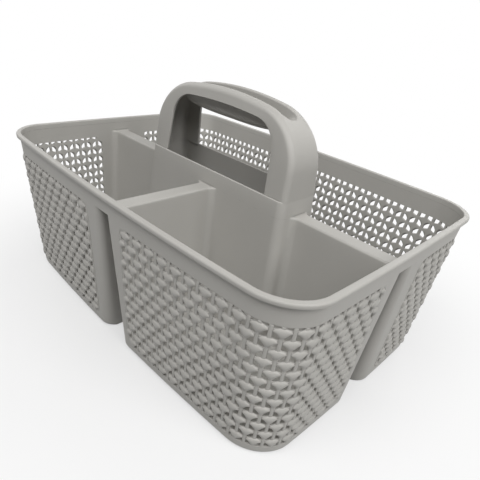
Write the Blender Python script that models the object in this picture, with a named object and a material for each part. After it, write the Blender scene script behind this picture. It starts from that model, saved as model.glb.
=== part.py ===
"""Rattan-look organizer basket: three tapered bins under one rim, with a fixed carry handle.

Metres, +Z up. +X runs along the long sides, -Y is the front. The origin is the middle of the underside.
The real basket is one moulding. Its walls, floors, caps and handle parts are separate solids here,
parted by a narrow seam, so that each can be reused or changed by itself.
"""
import math

import bmesh
import bpy

# Body, measured at the rim and at the underside
RIM_LENGTH = 0.380
RIM_WIDTH = 0.272
BODY_HEIGHT = 0.144
BASE_LENGTH = 0.354
BASE_WIDTH = 0.240
RIM_CORNER_RADIUS = 0.036
BASE_CORNER_RADIUS = 0.0335
LONG_SIDE_BOW = 0.006
SHORT_SIDE_BOW = 0.0023
WALL = 0.002
FOOT_RADIUS = 0.005
SEAM = 0.0003

# Rim and the smooth collar below it
RIM_OVERHANG = 0.0032
RIM_DEPTH = 0.005
RIM_LIP_DEPTH = 0.0036
RIM_EDGE = 0.0009

# Dividers: two leaves with a groove between them, closed by a cap
DIVIDER_DROP = 0.014
DIVIDER_WIDTH = 0.015
DIVIDER_FOOT_WIDTH = 0.028
GROOVE_CORNER_RADIUS = 0.005
GROOVE_FOOT_CORNER_RADIUS = 0.010

# Woven field on the outer walls; its edges are measured from the middle of each side
FIELD_EDGE = 0.0232
BACK_FIELD_EDGE = 0.029
FIELD_FOOT_MARGIN = 0.009
FIELD_HEAD_MARGIN = 0.0202

# Weave: upright posts and rows of strands, which swell where they pass in front of a post
POST_COUNT = 36
BACK_POST_COUNT = 72
POST_MARGIN = 0.0018
BACK_POST_MARGIN = 0.0033
STRAND_ROWS = 13
ROW_HEAD_SHARE = 0.66
ROW_FOOT_SHARE = 0.46
STRAND_RELIEF = 0.0021
SHOULDER_RELIEF = 0.0015
SHOULDER_RISE = 0.0012
GAP_DEPTH = 0.0003
DIMPLE_DEPTH = 0.0009

# Open well in the middle, which carries the handle
WELL_LENGTH = 0.176
WELL_WIDTH = 0.046
WELL_CORNER_RADIUS = 0.008

# Handle: two channel legs, an arch and a sunk grip
HANDLE_RISE = 0.071
HANDLE_LEDGE = 0.0015
HANDLE_WALL = 0.0025
HANDLE_CROWN_RADIUS = 0.300
SHOULDER_RADIUS = 0.047
HANDLE_EDGE_RADIUS = 0.0055
LEG_DEPTH = 0.0225
FLANGE_DEPTH = 0.012
OPENING_CROWN_RADIUS = 0.480
OPENING_CORNER_RADIUS = 0.023
LEG_LEAN_SHARE = 0.04
OPENING_LEAN_SHARE = 0.07
LEG_RISE_SHARE = 0.28
HANDLE_DRAFT_SHARE = 0.08

# Sunk grip in the top of the arch
GRIP_LENGTH = 0.136
GRIP_WIDTH = 0.019
GRIP_DEPTH = 0.026
GRIP_END_DEPTH = 0.006
GRIP_WALL = 0.002

# Steps along curves and runs
CORNER_STEPS = 6
RUN_STEPS = 4
SMALL_CORNER_STEPS = 3
FOOT_STEPS = 2
ARC_STEPS = 8
CROWN_STEPS = 4
GRIP_END_STEPS = 6
GRIP_RUN_STEPS = 6

CUT_OVERRUN = 0.010

PLASTIC = (0.43, 0.41, 0.375, 1.0)
PLASTIC_ROUGHNESS = 0.55

DIVIDER_TOP = BODY_HEIGHT - DIVIDER_DROP
WALL_TOP = DIVIDER_TOP - WALL - SEAM
COLLAR_BASE = DIVIDER_TOP - WALL
RIM_BASE = BODY_HEIGHT - RIM_DEPTH
HANDLE_HEIGHT = BODY_HEIGHT + HANDLE_RISE
LEG_HEIGHT = HANDLE_RISE * LEG_RISE_SHARE
DIVIDER_DRAFT = (DIVIDER_FOOT_WIDTH - DIVIDER_WIDTH) / 2 / DIVIDER_TOP
FIELD_TOP = BODY_HEIGHT - FIELD_HEAD_MARGIN
ROW_PITCH = (FIELD_TOP - FIELD_FOOT_MARGIN) / (STRAND_ROWS - 1 + ROW_HEAD_SHARE + ROW_FOOT_SHARE)
TOP_ROW = FIELD_TOP - ROW_HEAD_SHARE * ROW_PITCH


def mix(low, high, share):
    return low + (high - low) * share


def clear_scene():
    for item in list(bpy.data.objects):
        bpy.data.objects.remove(item, do_unlink=True)


def plastic(name):
    material = bpy.data.materials.new(name)
    material.use_nodes = True
    shader = material.node_tree.nodes["Principled BSDF"]
    shader.inputs["Base Color"].default_value = PLASTIC
    shader.inputs["Roughness"].default_value = PLASTIC_ROUGHNESS
    shader.inputs["Metallic"].default_value = 0.0
    return material


def add_object(name, mesh_data, sharp_angle=math.radians(35)):
    bmesh.ops.recalc_face_normals(mesh_data, faces=mesh_data.faces)
    mesh = bpy.data.meshes.new(name)
    mesh_data.to_mesh(mesh)
    mesh_data.free()
    mesh.shade_smooth()
    mesh.set_sharp_from_angle(angle=sharp_angle)
    item = bpy.data.objects.new(name, mesh)
    item.data.materials.append(plastic(name))
    bpy.context.scene.collection.objects.link(item)
    return item


def strip(mesh_data, first, second):
    """Faces between two equally long rows of vertices."""
    for i in range(len(first) - 1):
        mesh_data.faces.new((first[i], first[i + 1], second[i + 1], second[i]))


def sheet_solid(name, outer, inner):
    """A curved plate: outer and inner are grids of points, station by station, foot to top."""
    mesh_data = bmesh.new()
    out = [[mesh_data.verts.new(p) for p in row] for row in outer]
    inn = [[mesh_data.verts.new(p) for p in row] for row in inner]
    for i in range(len(out) - 1):
        strip(mesh_data, out[i], out[i + 1])
        strip(mesh_data, inn[i + 1], inn[i])
    for k in (0, -1):
        strip(mesh_data, [row[k] for row in out], [row[k] for row in inn])
    for i in (0, -1):
        strip(mesh_data, out[i], inn[i])
    bmesh.ops.triangulate(mesh_data, faces=mesh_data.faces)
    return add_object(name, mesh_data)


def ring_solid(name, rows):
    """A closed ring: each row is one cross-section, and both rows and sections close on themselves."""
    mesh_data = bmesh.new()
    grid = [[mesh_data.verts.new(p) for p in row] for row in rows]
    for i, row in enumerate(grid):
        following = grid[(i + 1) % len(grid)]
        strip(mesh_data, row + row[:1], following + following[:1])
    bmesh.ops.triangulate(mesh_data, faces=mesh_data.faces)
    return add_object(name, mesh_data)


def bar_solid(name, rows):
    """A bar: each row is one closed cross-section, and the first and last are capped."""
    mesh_data = bmesh.new()
    grid = [[mesh_data.verts.new(p) for p in row] for row in rows]
    for i in range(len(grid) - 1):
        strip(mesh_data, grid[i] + grid[i][:1], grid[i + 1] + grid[i + 1][:1])
    mesh_data.faces.new(grid[0])
    mesh_data.faces.new(grid[-1])
    mesh_data.normal_update()
    bmesh.ops.triangulate(mesh_data, faces=mesh_data.faces)
    return add_object(name, mesh_data)


def shell_size(z):
    """Half length, half width and corner radius of the tapered outer surface at height z."""
    share = z / BODY_HEIGHT
    half_length = mix(BASE_LENGTH / 2, RIM_LENGTH / 2 - RIM_OVERHANG, share)
    half_width = mix(BASE_WIDTH / 2, RIM_WIDTH / 2 - RIM_OVERHANG, share)
    radius = mix(BASE_CORNER_RADIUS, RIM_CORNER_RADIUS - RIM_OVERHANG, share)
    return half_length, half_width, radius


def bowed(x, y, z):
    """The sides swell a little towards their middles, so the corners are drawn in."""
    half_length, half_width, _ = shell_size(z)
    across = (x / half_length) ** 2 * (y / half_width) ** 2
    return x * (1 - SHORT_SIDE_BOW / half_length * across), y * (1 - LONG_SIDE_BOW / half_width * across), z


def divider_half(z):
    return DIVIDER_WIDTH / 2 + DIVIDER_DRAFT * (DIVIDER_TOP - z)


def groove_half(z):
    return divider_half(z) - WALL


def groove_corner(z):
    return mix(GROOVE_FOOT_CORNER_RADIUS, GROOVE_CORNER_RADIUS, z / DIVIDER_TOP)


def well_half_length(z):
    return WELL_LENGTH / 2 + DIVIDER_DRAFT * (BODY_HEIGHT - z)


def well_half_width(z):
    return WELL_WIDTH / 2 + DIVIDER_DRAFT * (BODY_HEIGHT - z)


def foot_angles():
    return [math.pi / 2 * k / FOOT_STEPS for k in range(FOOT_STEPS + 1)]


def foot_levels(rounding):
    """Inset and height pairs, outer then inner, up the rounded foot; rounding 0 is a square foot."""
    levels = []
    for angle in foot_angles():
        height = FOOT_RADIUS - FOOT_RADIUS * math.cos(angle)
        outer = (rounding * (FOOT_RADIUS - FOOT_RADIUS * math.sin(angle)), height)
        core = FOOT_RADIUS - WALL
        round_inner = (FOOT_RADIUS - core * math.sin(angle), FOOT_RADIUS - core * math.cos(angle))
        inner = (mix(WALL, round_inner[0], rounding), mix(height, round_inner[1], rounding))
        levels.append((outer, inner))
    return levels


def shell_ring(inset, z):
    """Closed plan of the outer surface, pushed in by inset, at height z."""
    half_length, half_width, radius = shell_size(z)
    length, width, radius = half_length - inset, half_width - inset, radius - inset
    centres = [(length - radius, width - radius, 0), (radius - length, width - radius, 1),
               (radius - length, radius - width, 2), (length - radius, radius - width, 3)]
    points = []
    for x, y, quarter in centres:
        arc = []
        for k in range(CORNER_STEPS + 1):
            angle = math.pi / 2 * (quarter + k / CORNER_STEPS)
            arc.append((x + radius * math.cos(angle), y + radius * math.sin(angle)))
        points += arc
        following = centres[(quarter + 1) % len(centres)]
        turn = math.pi / 2 * (quarter + 1)
        end = (following[0] + radius * math.cos(turn), following[1] + radius * math.sin(turn))
        for k in range(1, RUN_STEPS):
            points.append((mix(arc[-1][0], end[0], k / RUN_STEPS), mix(arc[-1][1], end[1], k / RUN_STEPS)))
    return [bowed(x, y, z) for x, y in points]


def shell_band(name, profile):
    """A closed band round the basket; profile lists inset and height round its cross-section."""
    rings = [shell_ring(inset, z) for inset, z in profile]
    return ring_solid(name, [list(section) for section in zip(*rings)])


def run_lengths(z, edge, centred):
    """Lengths of an outer wall's straight part, corner and side part at height z."""
    half_length, half_width, radius = shell_size(z)
    straight = half_length - radius - (0 if centred else edge)
    return straight, radius * math.pi / 2, half_width - radius - edge


def wall_point(inset, z, edge, centred, share):
    """Point of an outer wall at a share of its run, which starts at its edge or at its middle."""
    half_length, half_width, radius = shell_size(z)
    straight, arc, side = run_lengths(z, edge, centred)
    reach = abs(share) * (straight + arc + side)
    turn = min(max((reach - straight) / radius, 0), math.pi / 2)
    x = (0 if centred else edge) + min(reach, straight) + (radius - inset) * math.sin(turn)
    y = radius - half_width - (radius - inset) * math.cos(turn) + max(reach - straight - arc, 0)
    x, y, z = bowed(x, y, z)
    return (math.copysign(x, share), -y, z) if centred else (x, y, z)


def column_shares(posts, margin, edge, centred):
    """Shares of the run at the wall's ends, at the posts and half way between the posts."""
    start = -1 if centred else 0
    border = margin / sum(run_lengths(TOP_ROW, edge, centred))
    last = 2 * (posts - 1)
    return [start] + [mix(start + border, 1 - border, k / last) for k in range(last + 1)] + [1]


def strand_in_front(post, row, first_strand):
    return (post + row + first_strand) % 2 == 0


def weave_levels(column, first_strand):
    """Relief and height of one column's levels from the field's foot to its top.

    Even columns are posts, with a strand in front in every second row. Odd columns lie between the
    posts, where the strands' shoulders alternate with dimples.
    """
    at_post = column % 2 == 0
    levels = [(0, FIELD_FOOT_MARGIN)]
    for row in reversed(range(STRAND_ROWS)):
        z = TOP_ROW - row * ROW_PITCH
        if not at_post:
            levels.append((SHOULDER_RELIEF, z + SHOULDER_RISE))
        elif strand_in_front(column // 2, row, first_strand):
            levels.append((STRAND_RELIEF, z))
        else:
            levels.append((-GAP_DEPTH, z))
        if row:
            levels.append((-GAP_DEPTH if at_post else -DIMPLE_DEPTH, z + ROW_PITCH / 2))
    return levels + [(0, FIELD_TOP), (0, WALL_TOP)]


def zipped(mesh_data, coarse, fine):
    """Triangles between two rows of vertices of unequal length that both rise from foot to top."""
    i, k = 0, 0
    while i < len(coarse) - 1 or k < len(fine) - 1:
        if i == len(coarse) - 1 or (k < len(fine) - 1 and fine[k + 1].co.z <= coarse[i + 1].co.z):
            mesh_data.faces.new((coarse[i], fine[k], fine[k + 1]))
            k += 1
        else:
            mesh_data.faces.new((coarse[i], fine[k], coarse[i + 1]))
            i += 1


def rises_to_the_left(column, level, first_strand):
    """Whether the fold of the patch above a level and right of a column rises to the left.

    Folds run from a strand's shoulder to its post, and from a bare post into the dimple beside it.
    """
    row = STRAND_ROWS - 1 - level // 2
    strand_level_below = level % 2 == 1
    post_on_left = column % 2 == 0
    post = (column + 1) // 2
    at_upper_end_of_post = strand_in_front(post, row, first_strand) == strand_level_below
    return at_upper_end_of_post == post_on_left


def woven_wall(name, posts, margin, edge, centred, first_strand, flip=1):
    """An outer wall: smooth inside, and outside a weave whose strands swell in front of the posts."""
    shares = column_shares(posts, margin, edge, centred)
    mesh_data = bmesh.new()
    outer, inner = [], []
    foot_count = len(foot_levels(1))
    plain = [(0, FIELD_FOOT_MARGIN), (0, FIELD_TOP), (0, WALL_TOP)]

    def vertex(inset, z, share):
        x, y, z = wall_point(inset, z, edge, centred, share)
        return mesh_data.verts.new((flip * x, y, z))

    for i, share in enumerate(shares):
        at_end = i in (0, len(shares) - 1)
        weave = plain if at_end else weave_levels(i - 1, first_strand)
        outer.append([vertex(inset, z, share) for (inset, z), _ in foot_levels(1)]
                     + [vertex(-relief, z, share) for relief, z in weave])
        inner.append([vertex(inset, z, share) for _, (inset, z) in foot_levels(1)]
                     + [vertex(WALL, z, share) for _, z in plain])
    for i in range(1, len(shares) - 2):
        near, far = outer[i], outer[i + 1]
        for k in range(len(near) - 1):
            a, b, c, d = near[k], far[k], far[k + 1], near[k + 1]
            if rises_to_the_left(i - 1, k - foot_count, first_strand):
                halves = (a, b, d), (b, c, d)
            else:
                halves = (a, b, c), (a, c, d)
            for half in halves:
                mesh_data.faces.new(half)
    zipped(mesh_data, outer[0], outer[1])
    zipped(mesh_data, outer[-1], outer[-2])
    for i in range(len(shares) - 1):
        strip(mesh_data, inner[i + 1], inner[i])
    for k in (0, -1):
        strip(mesh_data, [column[k] for column in outer], [column[k] for column in inner])
    for i in (0, -1):
        strip(mesh_data, outer[i], inner[i])
    bmesh.ops.triangulate(mesh_data, faces=mesh_data.faces)
    return add_object(name, mesh_data)


def leaf_run(outer_half, far_end, field_edge, z):
    """Stations of a divider leaf: strip beside the field, groove corner, then the run to the well.

    Each station is the point on the groove side, the direction into the bin and the foot rounding.
    Along is measured from the middle of the groove, and out towards the outer wall.
    """
    radius = groove_corner(z)
    groove = groove_half(z)
    stations = [((outer_half, field_edge - SEAM), (-1, 0), 1)]
    for k in range(SMALL_CORNER_STEPS + 1):
        share = k / SMALL_CORNER_STEPS
        angle = math.pi / 2 * share
        centre = (outer_half - radius, groove + radius)
        point = (centre[0] + radius * math.cos(angle), centre[1] - radius * math.sin(angle))
        stations.append((point, (-math.cos(angle), math.sin(angle)), 1 - share))
    stations.append(((far_end, groove), (0, 1), 0))
    return stations


def leaf(name, along_x, flip_out, flip_side, field_edge=FIELD_EDGE):
    """One leaf of a divider, with its smooth strip of outer wall."""
    def station(i, inset, z):
        half_length, half_width, _ = shell_size(z)
        outer_half = half_length if along_x else half_width
        far_end = (well_half_length(z) if along_x else well_half_width(z)) + SEAM
        (out, side), (out_step, side_step), _ = leaf_run(outer_half, far_end, field_edge, z)[i]
        out, side = out + out_step * inset, side + side_step * inset
        x, y = (out, side) if along_x else (side, out)
        x, y, z = bowed(x, y, z)
        return (flip_out * x, flip_side * y, z) if along_x else (flip_side * x, flip_out * y, z)

    plain_run = leaf_run(BASE_LENGTH, WELL_LENGTH, field_edge, 0)
    outer, inner = [], []
    for i, (_, _, rounding) in enumerate(plain_run):
        levels = foot_levels(rounding) + [((0, WALL_TOP), (WALL, WALL_TOP))]
        outer.append([station(i, *out_level) for out_level, _ in levels])
        inner.append([station(i, *in_level) for _, in_level in levels])
    return sheet_solid(name, outer, inner)


def divider_cap(name, along_x, flip_out):
    """The flat top that joins two leaves and closes the groove between them."""
    rows = []
    for z in (COLLAR_BASE, DIVIDER_TOP):
        half_length, half_width, _ = shell_size(COLLAR_BASE)
        outer_end = (half_length if along_x else half_width) - WALL - SEAM
        well_end = (well_half_length(COLLAR_BASE) if along_x else well_half_width(COLLAR_BASE)) + SEAM
        side = divider_half(z)
        plan = [(well_end, -side), (outer_end, -side), (outer_end, side), (well_end, side)]
        rows.append([(flip_out * out, s, z) if along_x else (s, flip_out * out, z) for out, s in plan])
    return bar_solid(name, rows)


def well_corner_arc(z, growth, start_quarter):
    """Rounded corner of the well at +X, grown outwards; quarter 3 is the front one."""
    sign = -1 if start_quarter == 3 else 1
    centre = (well_half_length(z) - WELL_CORNER_RADIUS, sign * (well_half_width(z) - WELL_CORNER_RADIUS))
    radius = WELL_CORNER_RADIUS + growth
    points = []
    for k in range(SMALL_CORNER_STEPS + 1):
        angle = math.pi / 2 * (start_quarter + k / SMALL_CORNER_STEPS)
        points.append((centre[0] + radius * math.cos(angle), centre[1] + radius * math.sin(angle)))
    return points


def well_end(name, flip):
    """The U-shaped end of the well, which stands under a handle leg."""
    outer, inner = [], []
    for growth, grid in ((0, outer), (-WALL, inner)):
        levels = []
        for z in (0, DIVIDER_TOP, BODY_HEIGHT):
            plan = well_corner_arc(z, growth, 3) + well_corner_arc(z, growth, 0)
            levels.append([(flip * x, y, z) for x, y in plan])
        grid.extend([list(column) for column in zip(*levels)])
    return sheet_solid(name, outer, inner)


def well_wall(name, flip):
    """A long wall of the well, from one rounded end to the other."""
    outer, inner = [], []
    for x_share in (-1, 1):
        outer_column, inner_column = [], []
        for z in (0, BODY_HEIGHT):
            x = x_share * (well_half_length(z) - WELL_CORNER_RADIUS - SEAM)
            outer_column.append((x, flip * well_half_width(z), z))
            inner_column.append((x, flip * (well_half_width(z) - WALL), z))
        outer.append(outer_column)
        inner.append(inner_column)
    return sheet_solid(name, outer, inner)


def groove_passage(name):
    """Cutter that opens the well's front wall into the cross divider's groove, below its cap."""
    depth = well_half_width(0) + CUT_OVERRUN
    rows = []
    for z in (-CUT_OVERRUN, WALL_TOP):
        half = groove_half(z)
        rows.append([(-half, -depth, z), (half, -depth, z), (half, 0, z), (-half, 0, z)])
    return bar_solid(name, rows)


def front_floor(name, flip):
    """Floor of a front bin: a slab with a step where it passes the well."""
    half_length, half_width, radius = shell_size(0)
    grown = FOOT_RADIUS + SEAM
    inner_half = divider_half(0) + SEAM
    plan = []
    corner = groove_corner(0)

    def groove_arc(centre, first_angle, inset_from, inset_to):
        for k in range(SMALL_CORNER_STEPS + 1):
            share = k / SMALL_CORNER_STEPS
            angle = first_angle + math.pi / 2 * share
            reach = corner - mix(inset_from, inset_to, share)
            plan.append((centre[0] + reach * math.cos(angle), centre[1] + reach * math.sin(angle)))

    groove = groove_half(0)
    groove_arc((groove + corner, corner - half_width), math.pi, WALL + SEAM, grown)
    for k in range(CORNER_STEPS + 1):
        angle = math.pi / 2 * (k / CORNER_STEPS - 1)
        reach = radius - grown
        plan.append((half_length - radius + reach * math.cos(angle), radius - half_width + reach * math.sin(angle)))
    groove_arc((half_length - corner, -groove - corner), 0, grown, WALL + SEAM)
    plan.append((well_half_length(0) + SEAM, -inner_half))
    plan += reversed(well_corner_arc(0, SEAM, 3))
    plan.append((inner_half, -well_half_width(0) - SEAM))
    rows = [[(flip * x, y, z) for x, y, _ in (bowed(px, py, 0) for px, py in plan)] for z in (0, WALL)]
    return bar_solid(name, rows)


def back_floor(name):
    """Floor of the long back bin, stepped past the well."""
    half_length, half_width, radius = shell_size(0)
    grown = FOOT_RADIUS + SEAM
    inner_half = divider_half(0) + SEAM
    corner = groove_corner(0)
    groove = groove_half(0)
    half = [(well_half_length(0) - WELL_CORNER_RADIUS, well_half_width(0) + SEAM)]
    half += list(reversed(well_corner_arc(0, SEAM, 0)))[1:]
    half.append((well_half_length(0) + SEAM, inner_half))
    for k in range(SMALL_CORNER_STEPS + 1):
        share = k / SMALL_CORNER_STEPS
        angle = math.pi / 2 * (share - 1)
        reach = corner - mix(WALL + SEAM, grown, share)
        half.append((half_length - corner + reach * math.cos(angle), groove + corner + reach * math.sin(angle)))
    for k in range(CORNER_STEPS + 1):
        angle = math.pi / 2 * k / CORNER_STEPS
        reach = radius - grown
        half.append((half_length - radius + reach * math.cos(angle), half_width - radius + reach * math.sin(angle)))
    plan = half + [(-x, y) for x, y in reversed(half)]
    rows = [[(x, y, z) for x, y, _ in (bowed(px, py, 0) for px, py in plan)] for z in (0, WALL)]
    return bar_solid(name, rows)


def arch_curve(foot_half, top, crown_radius, radius, lean_share):
    """Half of an arch in the XZ plane, from its foot at +X to its middle, as a function of its step.

    The leg leans in, a shoulder arc of the given radius follows, and a flat crown closes it.
    """
    lean = math.atan(lean_share)
    centre_z = top - radius
    for _ in range(12):
        touch_z = centre_z + radius * math.sin(lean)
        centre_x = foot_half - lean_share * (touch_z - BODY_HEIGHT) - radius * math.cos(lean)
        tilt = math.asin(centre_x / (crown_radius - radius))
        centre_z = top - crown_radius + (crown_radius - radius) * math.cos(tilt)
    points = []
    for k in range(ARC_STEPS + 1):
        angle = mix(lean, math.pi / 2 - tilt, k / ARC_STEPS)
        points.append((centre_x + radius * math.cos(angle), centre_z + radius * math.sin(angle)))
    for k in range(1, CROWN_STEPS + 1):
        angle = tilt * (1 - k / CROWN_STEPS)
        points.append((crown_radius * math.sin(angle), top - crown_radius + crown_radius * math.cos(angle)))
    return points


def handle_outer():
    return arch_curve(WELL_LENGTH / 2, HANDLE_HEIGHT, HANDLE_CROWN_RADIUS, SHOULDER_RADIUS, LEG_LEAN_SHARE)


def handle_inner():
    return arch_curve(WELL_LENGTH / 2 - LEG_DEPTH, HANDLE_HEIGHT - FLANGE_DEPTH, OPENING_CROWN_RADIUS,
                      OPENING_CORNER_RADIUS, OPENING_LEAN_SHARE)


def handle_half_width(z):
    return WELL_WIDTH / 2 - HANDLE_LEDGE - HANDLE_DRAFT_SHARE * (z - BODY_HEIGHT)


def channel_section(outer, inner):
    """Cross-section of the handle's channel between matching points of its two curves."""
    span = math.dist(outer, inner)
    step = ((inner[0] - outer[0]) / span, (inner[1] - outer[1]) / span)

    def point(depth, side):
        x = outer[0] + step[0] * depth
        z = outer[1] + step[1] * depth
        return x, side, z

    wide = handle_half_width(outer[1])
    edge = wide - HANDLE_EDGE_RADIUS
    low = handle_half_width(inner[1])
    chamfer = HANDLE_EDGE_RADIUS * (1 - math.sqrt(0.5))
    half = [point(0, edge), point(chamfer, wide - chamfer), point(HANDLE_EDGE_RADIUS, wide),
            point(span, low), point(span, low - HANDLE_WALL),
            point(HANDLE_WALL, wide - HANDLE_WALL)]
    return half + [(x, -y, z) for x, y, z in reversed(half)]


def leg_outer(z):
    return WELL_LENGTH / 2 - LEG_LEAN_SHARE * (z - BODY_HEIGHT), z


def leg_inner(z):
    return WELL_LENGTH / 2 - LEG_DEPTH - OPENING_LEAN_SHARE * (z - BODY_HEIGHT), z


def handle_leg(name, flip):
    """A leg of the handle: a channel that opens towards the middle and stands on the well's end."""
    rows = []
    for z in (BODY_HEIGHT + SEAM, BODY_HEIGHT + LEG_HEIGHT):
        section = channel_section(leg_outer(z), leg_inner(z))
        rows.append([(flip * x, y, z) for x, y, z in section])
    return bar_solid(name, rows)


def handle_arch(name):
    """The arch of the handle, a channel that opens downwards."""
    foot = BODY_HEIGHT + LEG_HEIGHT + SEAM
    outer = [leg_outer(foot)] + handle_outer()
    inner = [leg_inner(foot)] + handle_inner()
    half = [channel_section(o, i) for o, i in zip(outer, inner)]
    rows = half + [[(-x, y, z) for x, y, z in row] for row in reversed(half[:-1])]
    return bar_solid(name, rows)


def stadium(half_length, half_width):
    """One side of a slot with round ends, from its -X tip to its +X tip, as x and half width."""
    points = []
    straight = half_length - half_width
    for k in range(GRIP_END_STEPS + 1):
        angle = math.pi / 2 * k / GRIP_END_STEPS
        points.append((-straight - half_width * math.cos(angle), half_width * math.sin(angle)))
    for k in range(1, GRIP_RUN_STEPS):
        points.append((mix(-straight, straight, k / GRIP_RUN_STEPS), half_width))
    return points + [(-x, y) for x, y in reversed(points[:GRIP_END_STEPS + 1])]


def handle_top(x):
    """Height of the handle's outer curve over x."""
    curve = handle_outer()
    for (x0, z0), (x1, z1) in zip(curve, curve[1:]):
        if x1 <= abs(x) <= x0:
            return mix(z0, z1, (x0 - abs(x)) / (x0 - x1))
    return curve[-1][1]


def grip_floor(x):
    """Underside of the sunk grip: deepest in the middle, rising to its ends."""
    half_length = GRIP_LENGTH / 2
    end = handle_top(half_length) - GRIP_END_DEPTH
    return mix(HANDLE_HEIGHT - GRIP_DEPTH, end, (x / half_length) ** 4)


def grip_loft(name, half_length, half_width, floor_raise, top_raise):
    """A slot-shaped block under the handle's top, as deep as the grip."""
    side = stadium(half_length, half_width)
    mesh_data = bmesh.new()
    ends = {}
    columns = []
    for k, (x, half) in enumerate(side):
        low, high = grip_floor(x) + floor_raise, handle_top(x) + top_raise
        column = []
        for y in ((0,) if k in (0, len(side) - 1) else (-half, half)):
            column.append((mesh_data.verts.new((x, y, low)), mesh_data.verts.new((x, y, high))))
        columns.append(column)
    for first, second in zip(columns, columns[1:]):
        for a, b in ((first[0], second[0]), (first[-1], second[-1])):
            mesh_data.faces.new((a[0], b[0], b[1], a[1]))
        for level in (0, 1):
            corners = [c[level] for c in first] + [c[level] for c in reversed(second)]
            mesh_data.faces.new(corners)
    bmesh.ops.triangulate(mesh_data, faces=mesh_data.faces)
    return add_object(name, mesh_data)


def subtract(target, cutter, label):
    cutter.hide_render = True
    cutter.display_type = "WIRE"
    cut = target.modifiers.new(label, "BOOLEAN")
    cut.operation = "DIFFERENCE"
    cut.solver = "EXACT"
    cut.object = cutter


def build_handle():
    for side, flip in (("left", -1), ("right", 1)):
        handle_leg(f"handle_{side}_leg", flip)
    arch = handle_arch("handle_arch")
    half_length, half_width = GRIP_LENGTH / 2, GRIP_WIDTH / 2
    slot = grip_loft("grip_slot_cutter", half_length + SEAM, half_width + SEAM, -CUT_OVERRUN, CUT_OVERRUN)
    subtract(arch, slot, "Grip slot")
    grip = grip_loft("sunk_grip", half_length, half_width, 0, 0)
    hollow = grip_loft("grip_hollow_cutter", half_length - GRIP_WALL, half_width - GRIP_WALL, GRIP_WALL, CUT_OVERRUN)
    subtract(grip, hollow, "Grip hollow")


def build_body():
    shell_band("rim", [(WALL, RIM_BASE), (0, RIM_BASE), (0, BODY_HEIGHT - RIM_LIP_DEPTH),
                       (-RIM_OVERHANG, BODY_HEIGHT - RIM_LIP_DEPTH), (-RIM_OVERHANG, BODY_HEIGHT - RIM_EDGE),
                       (RIM_EDGE - RIM_OVERHANG, BODY_HEIGHT), (WALL - RIM_EDGE, BODY_HEIGHT),
                       (WALL, BODY_HEIGHT - RIM_EDGE)])
    shell_band("collar", [(WALL, COLLAR_BASE), (0, COLLAR_BASE), (0, RIM_BASE - SEAM), (WALL, RIM_BASE - SEAM)])
    for side, flip in (("left", -1), ("right", 1)):
        woven_wall(f"front_{side}_woven_wall", POST_COUNT, POST_MARGIN, FIELD_EDGE, False, 1, flip)
        front_floor(f"front_{side}_floor", flip)
        leaf(f"cross_divider_{side}_leaf", False, -1, flip)
        leaf(f"{side}_divider_front_leaf", True, flip, -1)
        leaf(f"{side}_divider_back_leaf", True, flip, 1, BACK_FIELD_EDGE)
        divider_cap(f"{side}_divider_cap", True, flip)
        well_end(f"well_{side}_end", flip)
    divider_cap("cross_divider_cap", False, -1)
    woven_wall("back_woven_wall", BACK_POST_COUNT, BACK_POST_MARGIN, BACK_FIELD_EDGE, True, 1)
    back_floor("back_floor")
    well_wall("well_back_wall", 1)
    subtract(well_wall("well_front_wall", -1), groove_passage("groove_passage_cutter"), "Groove passage")


clear_scene()
build_body()
build_handle()
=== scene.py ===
"""Looks of the rattan-look organizer basket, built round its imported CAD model. Metres, +Z up."""

import math

import bmesh
import bpy
import numpy as np
from mathutils import Matrix, Vector
from mathutils.geometry import tessellate_polygon


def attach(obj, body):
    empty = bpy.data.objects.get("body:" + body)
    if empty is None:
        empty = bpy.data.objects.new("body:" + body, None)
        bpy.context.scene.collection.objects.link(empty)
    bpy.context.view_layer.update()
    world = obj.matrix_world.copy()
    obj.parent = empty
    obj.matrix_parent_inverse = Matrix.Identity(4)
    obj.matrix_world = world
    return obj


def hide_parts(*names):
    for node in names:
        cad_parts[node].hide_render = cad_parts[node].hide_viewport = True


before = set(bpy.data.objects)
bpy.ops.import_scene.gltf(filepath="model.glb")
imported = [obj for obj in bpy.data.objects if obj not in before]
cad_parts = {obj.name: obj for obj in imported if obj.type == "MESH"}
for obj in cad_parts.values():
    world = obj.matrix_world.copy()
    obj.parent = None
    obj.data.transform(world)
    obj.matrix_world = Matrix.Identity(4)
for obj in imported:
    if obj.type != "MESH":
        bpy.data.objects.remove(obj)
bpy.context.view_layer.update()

# Sizes shared with the CAD source
RIM_LENGTH = 0.380
RIM_WIDTH = 0.272
BODY_HEIGHT = 0.144
BASE_LENGTH = 0.354
BASE_WIDTH = 0.240
RIM_CORNER_RADIUS = 0.036
BASE_CORNER_RADIUS = 0.0335
LONG_SIDE_BOW = 0.006
SHORT_SIDE_BOW = 0.0023
WALL = 0.002
FOOT_RADIUS = 0.005
RIM_OVERHANG = 0.0032
RIM_DEPTH = 0.005
RIM_LIP_DEPTH = 0.0036
DIVIDER_TOP = 0.130
DIVIDER_WIDTH = 0.015
DIVIDER_DRAFT = 0.05
COLLAR_BASE = DIVIDER_TOP - WALL
RIM_BASE = BODY_HEIGHT - RIM_DEPTH
GROOVE_CORNER_RADIUS = 0.005
GROOVE_FOOT_CORNER_RADIUS = 0.010
FIELD_EDGE = 0.0232
BACK_FIELD_EDGE = 0.029
WELL_LENGTH = 0.176
WELL_WIDTH = 0.046
WELL_CORNER_RADIUS = 0.008
HANDLE_HEIGHT = 0.215
HANDLE_LEDGE = 0.0015
HANDLE_WALL = 0.0025
HANDLE_CROWN_RADIUS = 0.300
SHOULDER_RADIUS = 0.047
HANDLE_EDGE_RADIUS = 0.0055
LEG_DEPTH = 0.0225
FLANGE_DEPTH = 0.012
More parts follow.
